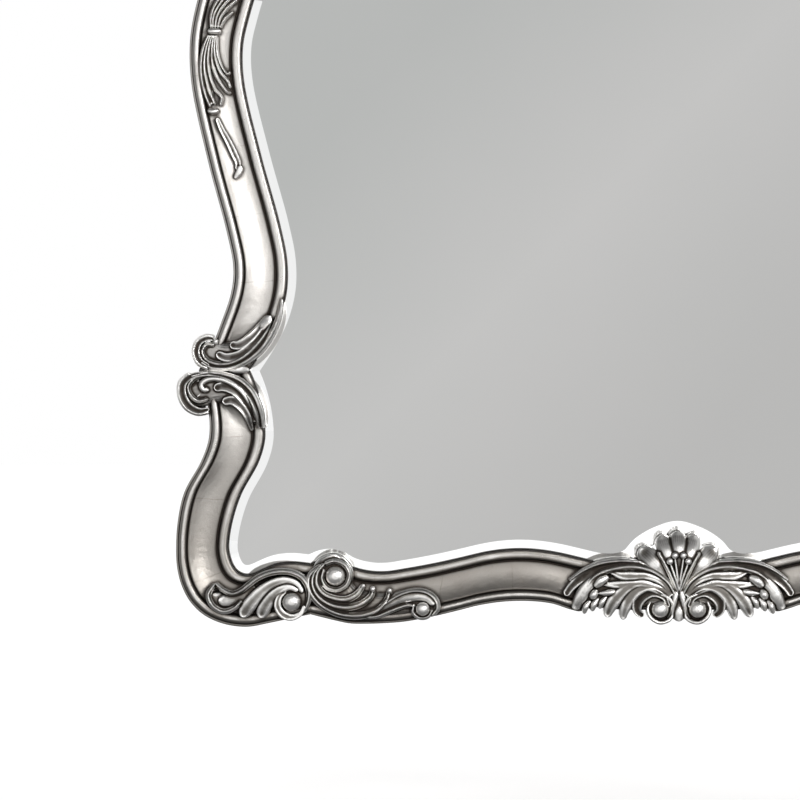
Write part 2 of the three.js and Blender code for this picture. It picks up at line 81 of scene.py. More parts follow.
# ---- curves and meshes
def smooth_path(points, step):
    """Even samples, about one step apart, of a centripetal Catmull-Rom curve through the points."""
    knots = np.asarray(points, float)
    knots = np.vstack([2 * knots[0] - knots[1], knots, 2 * knots[-1] - knots[-2]])
    gaps = np.maximum(np.linalg.norm(np.diff(knots, axis=0), axis=1), 1e-6) ** 0.5
    at = np.concatenate([[0], np.cumsum(gaps)])
    fine = []
    for i in range(1, len(knots) - 2):
        t = np.linspace(at[i], at[i + 1], CURVE_SAMPLES, endpoint=False)[:, None]
        p0, p1, p2, p3 = knots[i - 1:i + 3]
        t0, t1, t2, t3 = at[i - 1:i + 3]
        a1 = (t1 - t) / (t1 - t0) * p0 + (t - t0) / (t1 - t0) * p1
        a2 = (t2 - t) / (t2 - t1) * p1 + (t - t1) / (t2 - t1) * p2
        a3 = (t3 - t) / (t3 - t2) * p2 + (t - t2) / (t3 - t2) * p3
        b1 = (t2 - t) / (t2 - t0) * a1 + (t - t0) / (t2 - t0) * a2
        b2 = (t3 - t) / (t3 - t1) * a2 + (t - t1) / (t3 - t1) * a3
        fine.append((t2 - t) / (t2 - t1) * b1 + (t - t1) / (t2 - t1) * b2)
    return resample(np.vstack([*fine, knots[-2:-1]]), step)


def resample(line, step):
    """The line as evenly spaced points, about one step apart."""
    run = np.concatenate([[0], np.cumsum(np.linalg.norm(np.diff(line, axis=0), axis=1))])
    count = max(4, int(round(run[-1] / step)) + 1)
    even = np.linspace(0, run[-1], count)
    return np.column_stack([np.interp(even, run, line[:, k]) for k in range(line.shape[1])])


def along(values, count):
    """Smooth run of count values through a few values spaced evenly from end to end."""
    values = np.atleast_1d(np.asarray(values, float))
    if len(values) == 1:
        return np.full(count, values[0])
    knots = np.linspace(0, 1, len(values))
    t = np.linspace(0, 1, count)
    straight = np.interp(t, knots, values)
    width = max(3, count // (2 * len(values)) * 2 + 1)
    padded = np.pad(straight, width // 2, mode="edge")
    return np.convolve(padded, np.ones(width) / width, mode="valid")


def ring_faces(rings, size, closed=False, caps=True):
    """Quads between successive rings of points, with end caps unless the run is closed."""
    faces = []
    for r in range(rings if closed else rings - 1):
        near, far = r * size, (r + 1) % rings * size
        for k in range(size):
            n = (k + 1) % size
            faces.append((near + k, near + n, far + n, far + k))
    if caps and not closed:
        faces.append(tuple(range(size - 1, -1, -1)))
        faces.append(tuple((rings - 1) * size + k for k in range(size)))
    return faces


def linked(name, mesh):
    """A new object that shows the mesh in the scene."""
    made = bpy.data.objects.new(name, mesh)
    bpy.context.scene.collection.objects.link(made)
    return made


def make_piece(name, vertices, faces):
    """A piece on the frame's own body, with outward faces, from vertices in millimetres."""
    mesh = bpy.data.meshes.new(name)
    mesh.from_pydata((vertices * MM).tolist(), [], faces)
    mesh.validate()
    piece = linked(name, mesh)
    face_out(mesh)
    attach(piece, ROOT_BODY)
    return piece


def face_out(mesh):
    """Turns every face of the closed mesh outwards."""
    work = bmesh.new()
    work.from_mesh(mesh)
    bmesh.ops.recalc_face_normals(work, faces=work.faces)
    work.to_mesh(mesh)
    work.free()


def apply_modifiers(piece):
    """Replaces the piece's mesh by what its modifiers make of it."""
    depsgraph = bpy.context.evaluated_depsgraph_get()
    made = bpy.data.meshes.new_from_object(piece.evaluated_get(depsgraph))
    piece.modifiers.clear()
    old = piece.data
    piece.data = made
    bpy.data.meshes.remove(old)


def shade_smooth(piece):
    piece.data.polygons.foreach_set("use_smooth", np.ones(len(piece.data.polygons), bool))


def points_of(mesh):
    """The mesh's vertices in millimetres, one row each."""
    found = np.empty(len(mesh.vertices) * 3, np.float32)
    mesh.vertices.foreach_get("co", found)
    return found.reshape(-1, 3).astype(float) / MM


def store(mesh, name, values):
    """Keeps one value for each vertex, for the materials to read."""
    attribute = mesh.attributes.new(name, "FLOAT", "POINT")
    attribute.data.foreach_set("value", np.asarray(values, np.float32))


# ---- carved relief
DROP = {"rib": 0.9, "bed": 1.0, "lobe": 1.05}  # fall of a stroke's flanks as a share of its half-width
RIB_SPREAD = 1.9  # a rib's feet lie this much further out than its crest looks
RIB_CREST = 0.96  # its crest is eased to this height


def section(shape, hollow):
    """Rise of a stroke's surface, from 0 at its feet to about 1 at the top, over half a turn across it."""
    theta = np.linspace(0, math.pi, STROKE_SAMPLES)
    across = np.cos(theta)
    if shape == "rib":
        rise = (1 - np.abs(across)) ** 1.35
        rise[STROKE_SAMPLES // 2] = RIB_CREST
    elif shape == "bed":
        rise = np.sin(theta) ** 0.35
    else:
        scoop = hollow * np.clip(1 - (across / 0.85) ** 2, 0, 1)
        rise = np.sin(theta) ** max(0.8 - 1.1 * hollow, 0.25) - scoop
    return across, rise


def stroke(shape, path, widths, crowns, hollow=0.0):
    """One closed carved form along a path. widths are half-widths and crowns are depths of its top.

    A lobe is round across, and hollow scoops its middle; a rib is a narrow crest whose flanks run out in a
    hollow curve; a bed is the flat-topped ground that the others stand on.
    """
    line = smooth_path(path, STROKE_STEP)
    count = len(line)
    half = along(widths, count) * (RIB_SPREAD if shape == "rib" else 1)
    crown = along(crowns, count)
    run = np.concatenate([[0], np.cumsum(np.linalg.norm(np.diff(line, axis=0), axis=1))])
    for distance, end_half in ((run, half[0]), (run[-1] - run, half[-1])):
        inside = np.clip(distance / max(end_half, 0.3), 0, 1)
        half = half * np.sqrt(np.maximum(1 - (1 - inside) ** 2, 0.02))
    heading = np.gradient(line, axis=0)
    heading /= np.maximum(np.linalg.norm(heading, axis=1), 1e-9)[:, None]
    sideways = np.column_stack([-heading[:, 1], heading[:, 0]])
    across, rise = section(shape, hollow)
    foot = np.maximum(crown - half * DROP[shape] - FOOT_DROP, BASE + FOOT_DROP)
    vertices = []
    for i in range(count):
        top = foot[i] + (crown[i] - foot[i]) * rise
        ring = np.column_stack([line[i] + across[:, None] * half[i] * sideways[i], top])
        sole = np.array([[*ring[-1, :2], BASE], [*ring[0, :2], BASE]])
        vertices.append(np.vstack([ring, sole]))
    return np.vstack(vertices), ring_faces(count, STROKE_SAMPLES + 2)


lobe = partial(stroke, "lobe")
rib = partial(stroke, "rib")
bed = partial(stroke, "bed")


def ball(offset, height, radius, crown, squash=0.8, rings=10, sides=18):
    """A bead standing on the carving, as a stretched sphere whose top lies at the crown depth."""
    vertices = []
    for polar in np.linspace(0.02, math.pi - 0.02, rings):
        turn = np.linspace(0, 2 * math.pi, sides, endpoint=False)
        out = radius * math.sin(polar)
        depth = crown - squash * radius * (1 - math.cos(polar))
        vertices.append(np.column_stack([
            offset + out * np.cos(turn), height + out * np.sin(turn), np.full(sides, depth)]))
    return np.vstack(vertices), ring_faces(rings, sides)


def carve(node, forms, sides, placing):
    """Carves one ornament in place of its CAD node: strokes and balls fused into one solid.

    sides are the signs of the sides it lies on, and placing moves the forms from where they were drawn.
    """
    vertices, faces, start = [], [], 0
    for flip in sides:
        for points, form_faces in forms:
            spot = placing(points)
            vertices.append(np.column_stack([flip * spot[:, 0], BACK_Y - spot[:, 2], spot[:, 1]]))
            turned = form_faces if flip < 0 else [f[::-1] for f in form_faces]
            faces += [tuple(start + v for v in f) for f in turned]
            start += len(points)
    mesh = bpy.data.meshes.new(f"{node}_carved")
    mesh.from_pydata((np.vstack(vertices) * MM).tolist(), [], faces)
    piece = linked(mesh.name, mesh)
    face_out(mesh)
    remesh = piece.modifiers.new("fuse", "REMESH")
    remesh.mode = "VOXEL"
    remesh.voxel_size = CARVING_GRAIN * MM
    remesh.use_smooth_shade = True
    soften = piece.modifiers.new("soften", "SMOOTH")
    soften.factor = 0.5
    soften.iterations = 1
    apply_modifiers(piece)
    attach(piece, ROOT_BODY)
    mark_hollows(piece.data)
    shade_smooth(piece)
    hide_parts(node)
    return piece


def mark_hollows(mesh):
    """Stores how deep each point lies in a hollow: the distance, at two scales, to the smoothed surface. The
    leaf's patination and painted shade follow it.
    """
    points = points_of(mesh)
    edges = np.empty(len(mesh.edges) * 2, np.int64)
    mesh.edges.foreach_get("vertices", edges)
    a, b = edges[0::2], edges[1::2]
    degree = np.bincount(np.concatenate([a, b]), minlength=len(points)).astype(float)[:, None]
    normals = np.empty(len(points) * 3, np.float32)
    mesh.vertices.foreach_get("normal", normals)
    normals = normals.reshape(-1, 3)
    spread, depth = points, np.zeros(len(points))
    for turn in range(1, FAR_PASSES + 1):
        total = np.column_stack([
            np.bincount(a, spread[b, k], len(points)) + np.bincount(b, spread[a, k], len(points))
            for k in range(3)])
        spread = total / np.maximum(degree, 1)
        if turn == NEAR_PASSES:
            depth = ((spread - points) * normals).sum(1) / NEAR_DEPTH
    depth = depth + ((spread - points) * normals).sum(1) / FAR_DEPTH
    store(mesh, "hollow", np.clip(depth, -HOLLOW_LIMIT, HOLLOW_LIMIT))


# Strokes of the bottom shell, for one side; the other side mirrors it.
SHELL_FORMS = [
    bed([(0, -706), (0, -690), (0, -660), (0, -607)], [7, 12, 12, 10], [31, 33, 34, 22]),
    bed([(2, -672), (18, -650), (38, -630)], [8, 16, 12], [32, 33, 22]),
    bed([(4, -660), (12, -635), (19, -613)], [8, 10, 9], [32, 32, 22]),
    bed([(7, -694.5), (22.5, -694.5), (38, -694.5)], [15.5], [34]),
    lobe([(0, -664), (0, -645), (0, -622), (0, -601)], [3, 6.5, 10.4, 10.4], [35, 38, 41, 26]),
    lobe([(2, -666), (8, -645), (15, -624), (20.5, -606)], [2.5, 6, 9.8, 9.8], [34, 37, 40.5, 26]),
    lobe([(4, -672), (16, -653), (31, -636), (46, -622)], [3, 7, 11.6, 11.6], [33, 36, 39.5, 25],
         hollow=0.1),
    rib([(1, -674), (10, -653), (19, -636), (25, -626)], [1.6, 1.7, 1.5, 1.2], [39, 42, 42, 40]),
    lobe([(0, -672), (4, -658), (10, -641)], [1.2, 1.3, 1], [40, 43, 43]),
    lobe([(0, -670), (2, -654), (5, -634)], [1, 1.2, 1], [40, 43, 43]),
    ball(11, -637, 4, 43.8),
    ball(5, -630, 4, 43.8),
    lobe([(1, -668), (5, -682), (8, -697), (13, -706)], [3.6, 4, 3.4, 2], [37, 40, 38, 34]),
    lobe([(6, -698), (11, -707), (23, -710.5), (34, -704), (37.5, -694), (34, -685)],
        [1.7, 2, 2.2, 2.2, 1.8, 1.2], [36, 39, 40, 40, 39, 37]),
    lobe([(8, -702), (7, -690), (12, -681), (22, -677), (32, -679)], [1.4, 1.9, 2, 1.8, 1.2],
        [37, 39, 40, 39, 36]),
    ball(22.5, -694.5, 10.2, 43.8, squash=0.72),
    lobe([(0, -684), (0, -698), (0, -709)], [3, 7.5, 8.5], [34, 39, 37]),
]
# Strokes of the leaf wing beside the shell, from its ground to the nearest leaf.
WING_FORMS = [
    bed([(14, -682), (40, -676), (70, -671), (100, -674), (121, -684)], [12, 19, 22, 17, 8],
        [33, 34, 34, 33, 30]),
    bed([(40, -650), (58, -644), (84, -645), (108, -655), (124, -668)], [6, 9, 9, 8, 5],
        [33, 34, 34, 33, 31]),
    lobe([(28, -652), (46, -642), (70, -640), (94, -644.5), (114, -655), (128, -667), (136, -678)],
        [2, 5, 6, 6.2, 6, 5.4, 4.2], [36, 38, 39, 39, 38.5, 37, 34.5], hollow=0.42),
    rib([(48, -637.5), (72, -636.5), (96, -640), (116, -649), (131, -660)], [1.2, 1.5, 1.5, 1.4, 1],
        [38, 40, 40, 39, 36]),
    lobe([(88, -651), (101, -658), (111, -669), (118.5, -682), (125, -695)], [3, 5.5, 7.6, 8.2, 4.6],
        [37, 39.5, 40, 38.5, 33], hollow=0.12),
    rib([(4, -678), (14, -662), (34, -648), (56, -643.5), (78, -646), (96, -652), (108, -663),
        (112, -678)], [1.7, 2.2, 2.4, 2.4, 2.2, 2, 1.6, 1.1], [39, 41, 41.5, 41.5, 41.5, 41, 40, 37]),
    lobe([(8, -678), (20, -663), (38, -655), (56, -654.5), (70, -654), (82, -649.5)],
        [2.4, 3.2, 3.8, 5, 5.6, 1.6], [38, 40, 40.5, 41, 40, 37], hollow=0.25),
    lobe([(10, -680), (24, -668.5), (44, -664), (64, -665), (78, -665), (92, -664)],
        [2.4, 3, 3.4, 4.8, 4.8, 1.4], [38, 40, 41, 41, 40, 37], hollow=0.25),
    lobe([(68, -672), (80, -674), (96, -675.5)], [3, 5, 1.4], [36, 39.5, 37]),
    lobe([(84, -655.5), (93, -660), (101, -667)], [5, 6.4, 5], [38, 42, 39.5]),
    lobe([(98, -671), (101.5, -676), (105, -682)], [4.2, 5.4, 4], [37, 40.5, 38]),
    lobe([(86, -679), (92, -686), (95, -694)], [2.4, 4.2, 2.6], [35, 38, 35]),
    lobe([(96, -681), (101, -688), (104, -697)], [2.6, 4.4, 2.6], [35, 38, 35]),
    lobe([(106, -684), (111, -691), (113.5, -700)], [2.6, 4.4, 2.6], [34, 37.5, 34]),
    lobe([(12, -681), (26, -669), (44, -663), (60, -668), (72, -678), (81, -690), (86.5, -704)],
        [2.4, 3.2, 4, 5.6, 7.6, 8.6, 4.4], [38, 40, 41, 41, 41, 39.5, 34], hollow=0.22),
    lobe([(14, -685), (24, -674), (38, -668.5), (51, -674), (60, -684), (65, -696), (67, -707)],
        [2.4, 3.2, 4.4, 6.2, 7.4, 7, 3.4], [38, 40, 41, 41, 40.5, 39, 34], hollow=0.22),
    lobe([(12, -692), (18, -680), (31, -674.5), (43, -679), (49.5, -688), (49, -697), (42, -703)],
        [2.2, 3, 4.4, 6, 6.6, 5.6, 3.2], [38, 40, 41, 41, 40, 38.5, 36], hollow=0.5),
]
# Strokes of the scroll at the end of the bottom rail, with its two bosses and the leaf that trails from it.
RAIL_SCROLL_FORMS = [
    bed([(413, -629), (414, -654), (409, -672), (396, -684), (374, -690), (350, -690), (322, -690),
        (293, -690)], [24, 26, 21, 17, 15, 14, 13, 12], [33, 33, 33.5, 34, 34, 33, 32, 31]),
    ball(411, -654.5, 11.6, 43.9, squash=0.68),
    rib([(424.5, -646), (427, -658), (421, -668), (409, -671), (398, -665), (394, -652), (400, -641),
        (412, -636.5), (424, -640)], [1.5, 1.6, 1.6, 1.6, 1.6, 1.6, 1.6, 1.6, 1.5],
        [39, 40, 40, 40, 40, 40, 40, 40, 39]),
    rib([(424, -640), (432, -650), (433, -664), (426, -675), (413, -681), (398, -682.5), (386, -677),
        (377.5, -666)], [1.5, 1.8, 2, 2, 2.1, 2.3, 2.2, 1.6], [38, 40, 41, 41, 41, 41, 41, 39]),
    ball(377.8, -666.5, 2.6, 40),
    rib([(428, -641), (437, -653), (437.5, -668), (429, -681), (414, -689.5), (396, -692), (379, -687.5),
        (368, -678), (366, -669)], [1.4, 1.8, 2, 2.1, 2.2, 2.3, 2.3, 2.2, 1.6],
        [37, 39, 40, 41, 41, 41, 41, 40, 38]),
    ball(366.3, -670, 3.4, 40),
    rib([(430, -642), (442, -655), (442, -670), (433, -685), (417, -696), (399, -701.5), (378, -701.5),
        (360, -695), (349, -683), (345.5, -671)], [1.3, 1.7, 2, 2.1, 2.2, 2.4, 2.6, 2.5, 2.2, 1.6],
        [36, 38, 40, 40, 40, 40, 40, 40, 39, 38]),
    ball(346, -672, 3.2, 40),
    lobe([(369, -700), (352, -690), (334, -681), (315, -678), (300, -681), (293, -689)],
        [3, 5.5, 8, 8, 6.5, 4], [36, 38, 39, 39, 38.5, 38], hollow=0.08),
    rib([(362, -697), (347, -685), (331, -676), (315, -672.5), (301, -675), (291.5, -683), (289, -693),
        (295, -702)], [1.3, 1.6, 1.8, 1.8, 1.9, 2.2, 2.2, 1.4], [37, 39, 40, 40, 40, 40, 40, 37]),
    rib([(378, -704), (362, -703), (344, -696), (328, -690.5), (316, -690.5)], [1.2, 1.5, 1.6, 1.5, 1.2],
        [36, 38, 39, 39, 38]),
    ball(306.5, -694, 8.4, 42.8, squash=0.75),
    rib([(317, -688), (318, -698), (310, -704.5), (300, -703), (295, -695)], [1.1, 1.4, 1.4, 1.4, 1.1],
        [38, 38.5, 38, 38, 38]),
]
# Strokes of the leaf scroll round the lower corner.
CORNER_LEAF_FORMS = [
    bed([(561, -680), (548, -684), (530, -688), (508, -683), (484, -680), (464, -682), (444, -683)],
        [9, 10, 12, 17, 20, 21, 20], [31, 32, 33, 34, 34, 34, 34]),
    lobe([(551, -684), (540, -684), (524, -679), (506, -669)], [7, 9.5, 9, 5], [34, 36, 36, 31],
         hollow=0.12),
    rib([(555.5, -664), (563, -677), (558, -690), (545, -697), (532, -693), (523, -684)],
        [1.5, 1.8, 1.9, 1.8, 1.7, 1.2], [36, 38, 38.5, 39, 39, 38]),
    rib([(554.7, -663.4), (545, -671.5), (534, -675.5), (524, -672), (516, -666), (505, -657.5),
        (493, -652), (477.5, -649), (462, -650.5), (450.5, -657), (443.5, -669), (443, -684),
        (449, -698)], [1.3, 1.6, 1.8, 1.9, 2, 2, 2, 2, 2, 2, 1.9, 1.7, 1.2],
        [36, 38, 39, 40, 41, 41, 41, 41, 41, 40, 40, 39, 37]),
    lobe([(523, -704), (518.5, -696), (510.5, -685), (500, -673.5), (486, -664), (471, -660), (457, -664),
        (450, -674)], [7, 9.6, 8.6, 7, 6, 5, 3.6, 2], [35, 38.5, 40, 40.5, 40.5, 40.5, 40, 39],
         hollow=0.2),
    lobe([(501, -705), (498, -697), (493, -687.5), (486, -678), (477, -671), (466, -668), (455.5, -672)],
        [6.4, 8.8, 8, 6.5, 5, 3.6, 2], [35, 38.5, 40, 41, 41, 41, 40], hollow=0.2),
    ball(463.5, -685.5, 11.4, 43.9, squash=0.68),
    lobe([(470, -672.5), (478, -680), (480, -690), (475, -699.5), (464, -704), (453, -700), (448, -690)],
        [1.4, 3.4, 4.6, 5, 4.2, 2.8, 1.6], [39, 41, 41, 40.5, 40, 39.5, 39], hollow=0.3),
]
# Strokes of the two S-scrolls that meet at the side clasp.
LOWER_CLASP_FORMS = [
    bed([(595, -435), (577, -434), (556, -430), (534, -432), (517, -446), (507, -470)],
        [19, 20, 17, 14, 10, 6], [33, 34, 34, 34, 33, 27]),
    bed([(540, -407), (530, -407), (521, -407.5), (515, -408)], [3, 5, 5, 3], [33, 29, 25, 19]),
    lobe([(562, -455), (574, -457), (586, -451), (593, -439), (593, -425), (583, -415.5), (566, -412.5),
        (546, -414)], [2.4, 4, 4.6, 4.4, 4, 3, 2.2, 1.6], [37, 39, 40, 41, 41, 41, 41, 40], hollow=0.5),
    rib([(562, -459), (575, -461), (589, -454.5), (597, -441), (597, -423), (585.5, -411.5)],
        [1, 1.3, 1.4, 1.4, 1.4, 1.2], [37, 39, 40, 41, 41, 41]),
    rib([(583, -415.5), (564, -411.5), (544, -413.5), (525, -420.5), (511, -434), (502, -454),
        (498, -478)], [1.4, 1.7, 1.8, 1.9, 1.9, 1.8, 1.3], [40, 41, 41, 40.5, 40, 36, 21]),
    rib([(563, -443), (575, -445), (584, -438), (587, -428), (580, -418.5), (564, -415), (546, -417),
        (530, -425), (516, -439), (507, -458), (503, -478)],
        [1.3, 1.5, 1.6, 1.6, 1.6, 1.6, 1.7, 1.7, 1.6, 1.5, 1.1],
        [38, 40, 40, 40, 40, 41, 41, 40.5, 40, 37, 20]),
    lobe([(577, -440), (578, -430), (570, -423)], [7, 7.5, 5], [35, 35, 36], hollow=0.5),
    lobe([(562, -432), (569, -431), (571, -425), (564, -419.5), (550, -419), (536, -424), (524, -433),
        (515, -446), (508, -462)], [2.6, 3.4, 3.2, 2.8, 2.8, 2.8, 2.6, 2.2, 1.4],
        [39, 41, 41.5, 41.5, 41.5, 41, 40, 37, 24]),
    lobe([(556, -430), (545, -428), (532, -432.5), (522, -442.5), (513, -457), (507, -472)],
        [5, 6, 5.6, 4.8, 3.6, 1.8], [39, 41, 41, 40, 36, 22], hollow=0.42),
    lobe([(546, -446.5), (535, -444.5), (524, -452), (516, -464), (511, -481)], [4.6, 5.6, 5, 3.8, 1.8],
        [38, 40, 40, 36, 20], hollow=0.42),
]
UPPER_CLASP_FORMS = [
    bed([(580.5, -386.5), (576, -386.5), (568, -386.5), (558, -387), (542, -391), (522, -385),
        (504, -368), (489, -343)], [5, 12, 16, 16.5, 13, 12, 9, 5], [34, 34, 34, 34, 34, 34, 33, 27]),
    lobe([(556, -371), (565, -370.5), (574, -376), (577, -387), (573, -397), (562, -404)],
        [2.4, 3, 3.6, 3.8, 3.4, 2.4], [37, 39, 40, 41, 41, 40], hollow=0.5),
    rib([(556, -367.5), (566.5, -367), (577, -374), (580.5, -387), (576, -399.5), (563.5, -407)],
        [1, 1.2, 1.3, 1.3, 1.3, 1.1], [37, 39, 40, 41, 41, 40]),
    rib([(571, -399), (560, -405), (546, -406.5), (531, -404), (515, -396), (500, -383), (487, -364),
        (479, -343), (476, -322)], [1.5, 1.7, 1.8, 1.8, 1.9, 1.9, 1.8, 1.6, 1.1],
        [40, 41, 41, 41, 40, 39.5, 38, 33, 20]),
    rib([(556, -378), (565, -378), (570, -386), (566, -395), (554, -400.5), (538, -400), (522, -393),
        (507, -380), (494, -363), (485, -344)], [1.3, 1.5, 1.7, 1.7, 1.7, 1.7, 1.7, 1.7, 1.6, 1.1],
        [38, 40, 40.5, 41, 41, 41, 40.5, 39, 35, 22]),
    lobe([(553, -388.5), (542, -393), (526, -390), (511, -378), (498, -361), (489, -344)],
        [4.6, 5.6, 5.2, 4.6, 3.6, 1.6], [40, 41, 41, 40, 35, 21], hollow=0.42),
    lobe([(537, -378), (527, -378.5), (514, -371), (503, -359), (494, -344)], [4.8, 5.6, 5, 3.8, 1.6],
        [39, 41, 40, 35, 21], hollow=0.42),
    ball(554, -374, 3.4, 41),
]
# Strands of the tied husk, fanning out above the band and gathered below it, and its ribbon.
HUSK_FORMS = [
    lobe([(564, -2), (556, -2.5), (548, -2)], [3, 3.4, 3], [35, 37, 35]),
    bed([(561, -8), (566, -30), (566, -58), (560, -90)], [4, 6, 7, 4], [28, 30, 30, 28]),
    rib([(563, -7), (569.5, -24), (572, -42), (571, -60), (567, -78), (561, -93)],
        [0.8, 1.1, 1.2, 1.2, 1.1, 0.8], [33, 35, 35, 35, 33, 31]),
    rib([(561, -7), (566, -24), (568, -42), (566, -60), (561, -77), (555, -90)],
        [0.8, 1.1, 1.2, 1.2, 1.1, 0.8], [33, 35, 35, 35, 33, 30]),
    rib([(559, -7), (562.5, -24), (563.5, -42), (561, -58), (555, -72), (547.5, -81), (549, -91)],
        [0.8, 1.1, 1.2, 1.2, 1.1, 1.1, 0.9], [33, 35, 35, 34, 32, 31, 29]),
    rib([(557, -7), (559, -24), (558.5, -40), (554, -55), (547, -67), (540, -75), (536, -75.5)],
        [0.8, 1.1, 1.2, 1.2, 1.1, 1.1, 0.8], [32, 34, 34, 33, 31, 29, 27]),
    rib([(555, -7), (556, -24), (554, -39), (548, -52), (540, -62), (537, -70)],
        [0.8, 1.1, 1.1, 1.1, 1, 0.8], [32, 33, 33, 31, 29, 27]),
    rib([(553, -7), (553, -24), (550.5, -37), (546, -47), (540, -53), (537.5, -50)],
        [0.8, 1, 1.1, 1.1, 1, 0.8], [31, 32, 31, 29, 26, 25]),
    rib([(560, 2), (560, 14), (556, 27), (546, 42), (531, 58)], [0.9, 1.2, 1.2, 1.1, 0.8],
        [33, 34, 34, 32, 28]),
    rib([(558, 2), (557, 15), (551, 28), (540, 42), (526, 57)], [0.9, 1.2, 1.2, 1.1, 0.8],
        [33, 34, 33, 31, 27]),
    rib([(555, 2), (553, 15), (546, 28), (534, 41), (521, 54)], [0.9, 1.2, 1.2, 1.1, 0.8],
        [32, 33, 32, 30, 26]),
    rib([(552, 2), (549, 14), (541, 25), (529, 36)], [0.9, 1.1, 1.1, 0.8], [31, 32, 30, 27]),
    rib([(549, 2), (544, 12), (534, 22)], [0.8, 1.1, 0.8], [30, 30, 26]),
    lobe([(564, -97), (558, -98.5), (551, -97)], [3, 3.4, 3], [33, 35, 33]),
]
RIBBON_FORMS = [
    lobe([(553, -106), (548, -118), (540, -133), (532.5, -149), (528, -160), (529, -168)],
        [2.2, 3, 3.6, 3.9, 4, 2.6], [31, 30, 28.5, 27, 26, 24], hollow=0.45),
    lobe([(524.5, -163), (527, -171), (532, -178)], [3, 3.8, 2.2], [27, 27.5, 24], hollow=0.2),
]
# Strokes of the scroll on the upper corner.
SHOULDER_FORMS = [
    bed([(566, 101), (550, 104), (530, 114), (500, 126), (472, 148), (444, 174)], [15, 17, 19, 18, 13, 8],
        [32, 33, 34, 34, 33, 27]),
    ball(549, 104, 9.4, 43.5, squash=0.8),
    rib([(534, 90), (549, 87), (561, 96), (563, 112), (552, 127), (532, 138), (504, 150), (474, 169),
        (430, 189)], [1.3, 1.7, 1.9, 2, 2, 2, 1.9, 1.7, 1.2], [38, 40, 41, 41, 41, 41, 40, 34, 20]),
    rib([(537, 98), (534, 109), (540, 119), (530, 128), (508, 136), (484, 150), (458, 169), (436, 183)],
        [1.3, 1.7, 1.7, 1.8, 1.8, 1.8, 1.6, 1.1], [39, 40, 41, 41, 40.5, 39, 34, 22]),
    lobe([(526, 92), (514, 108), (496, 120), (474, 138), (448, 164)], [5, 7, 6.6, 5.2, 2],
        [38, 40.5, 40.5, 37, 22], hollow=0.42),
    lobe([(510, 88), (499, 101), (487, 114), (470, 130), (446, 154)], [5, 6.6, 6, 4.4, 1.6],
        [37, 40, 39.5, 36, 21], hollow=0.42),
]
CREST_SCALE = 1.3  # the crest repeats the bottom shell and wings at this size
CREST_STEM = 275  # height of the crest's root
SHELL_STEM = -672  # height of the bottom shell's root
CREST_DROOP = 0.22  # fall of the crest's wings with distance from its middle


def as_drawn(points):
    """Leaves an ornament's forms where they are."""
    return points


def crest_place(droop):
    """Places forms of the bottom shell and wings, larger, about the root of the crest."""
    def place(points):
        moved = points.copy()
        moved[:, 0] = CREST_SCALE * points[:, 0]
        rise = points[:, 1] - SHELL_STEM - droop * np.abs(points[:, 0])
        moved[:, 1] = CREST_STEM + CREST_SCALE * rise
        return moved
    return place


# ---- frame lengths
def edge_row(node, depth, start_axis, sign):
    """CAD vertices of one edge of a frame length, chained from the end that lies furthest along an axis."""
    points = points_of(frame["nodes"][node].data)
    row = points[np.abs(BACK_Y - points[:, 1] - depth) < DEPTH_MATCH][:, [0, 2]]
    row = np.unique(np.round(row, 2), axis=0)
    at = int(np.argmax(sign * row[:, start_axis]))
    chain, left = [row[at]], np.delete(row, at, axis=0)
    while len(left):
        nearest = int(np.argmin(np.linalg.norm(left - chain[-1], axis=1)))
        if np.linalg.norm(left[nearest] - chain[-1]) > LEAST_GAP:
            chain.append(left[nearest])
        left = np.delete(left, nearest, axis=0)
    return np.array(chain)


def stations_of(node):
    """Fine stations of a frame length as rows of sight x, sight z, outer x, outer z."""
    axis, sign = (0, -1) if node.endswith("rail") else (1, 1)
    sight = edge_row(node, SIGHT_DEPTH, axis, sign)
    outer = edge_row(node, OUTER_DEPTH, axis, sign)
    return smooth_path(np.hstack([sight, outer]), STATION_STEP)


def arc(centre, radii, start, end, count, power=1.0):
    """Points of an elliptical arc; a power under 1 squares its shoulders."""
    turns = np.radians(np.linspace(start, end, count))
    wave = np.column_stack([np.cos(turns), np.sin(turns)])
    return [tuple(p) for p in np.asarray(centre) + np.asarray(radii) * np.sign(wave) * np.abs(wave) ** power]


def moulding_profile():
    """Carved section from the outer foot over the front to the sight edge, then the rebate."""
    side = [(MOULDING_WIDTH, d) for d in (0.0, 8.0, 16.0, 22.6)]
    fillet = [(60.6, 23.7), (59.8, 24.0), (58.4, 24.0), (57.9, 23.4)]
    torus = arc((53, 25.5), (4.7, 6.5), -8, 188, 21, 0.8)
    rim = [(48.0, 23.6), (47.2, 24.3)]
    cove = [(14.6 + 31.6 * t, 15.3 + 9.0 * t ** 1.9) for t in np.linspace(1, 0, 17)]
    groove = arc((12.5, 15.2), (1.3, 2.0), 0, -180, 7)
    bead = arc((5.4, 14.8), (5.2, 3.2), 8, 188, 21, 0.72)
    rebate = [(0.0, REBATE_DEPTH), (REBATE_WIDTH, REBATE_DEPTH), (REBATE_WIDTH, 0.0)]
    return side + fillet + torus + rim + cove + groove + bead + rebate


BARE_CORNERS = 2  # rebate corners at the profile's end with bare wood after
SIGHT_TUCK = 15.0  # how far a rail's sight edge draws in behind its shell
SIGHT_TUCK_ENDS = (40, 58)  # where that starts and stops fading, off centre
OUTER_TUCK = 9.0  # how far its outer edge draws in behind shell and wings
OUTER_TUCK_ENDS = (104, 130)
INNER_HALF = 30  # each of the two moves this much of the width with it
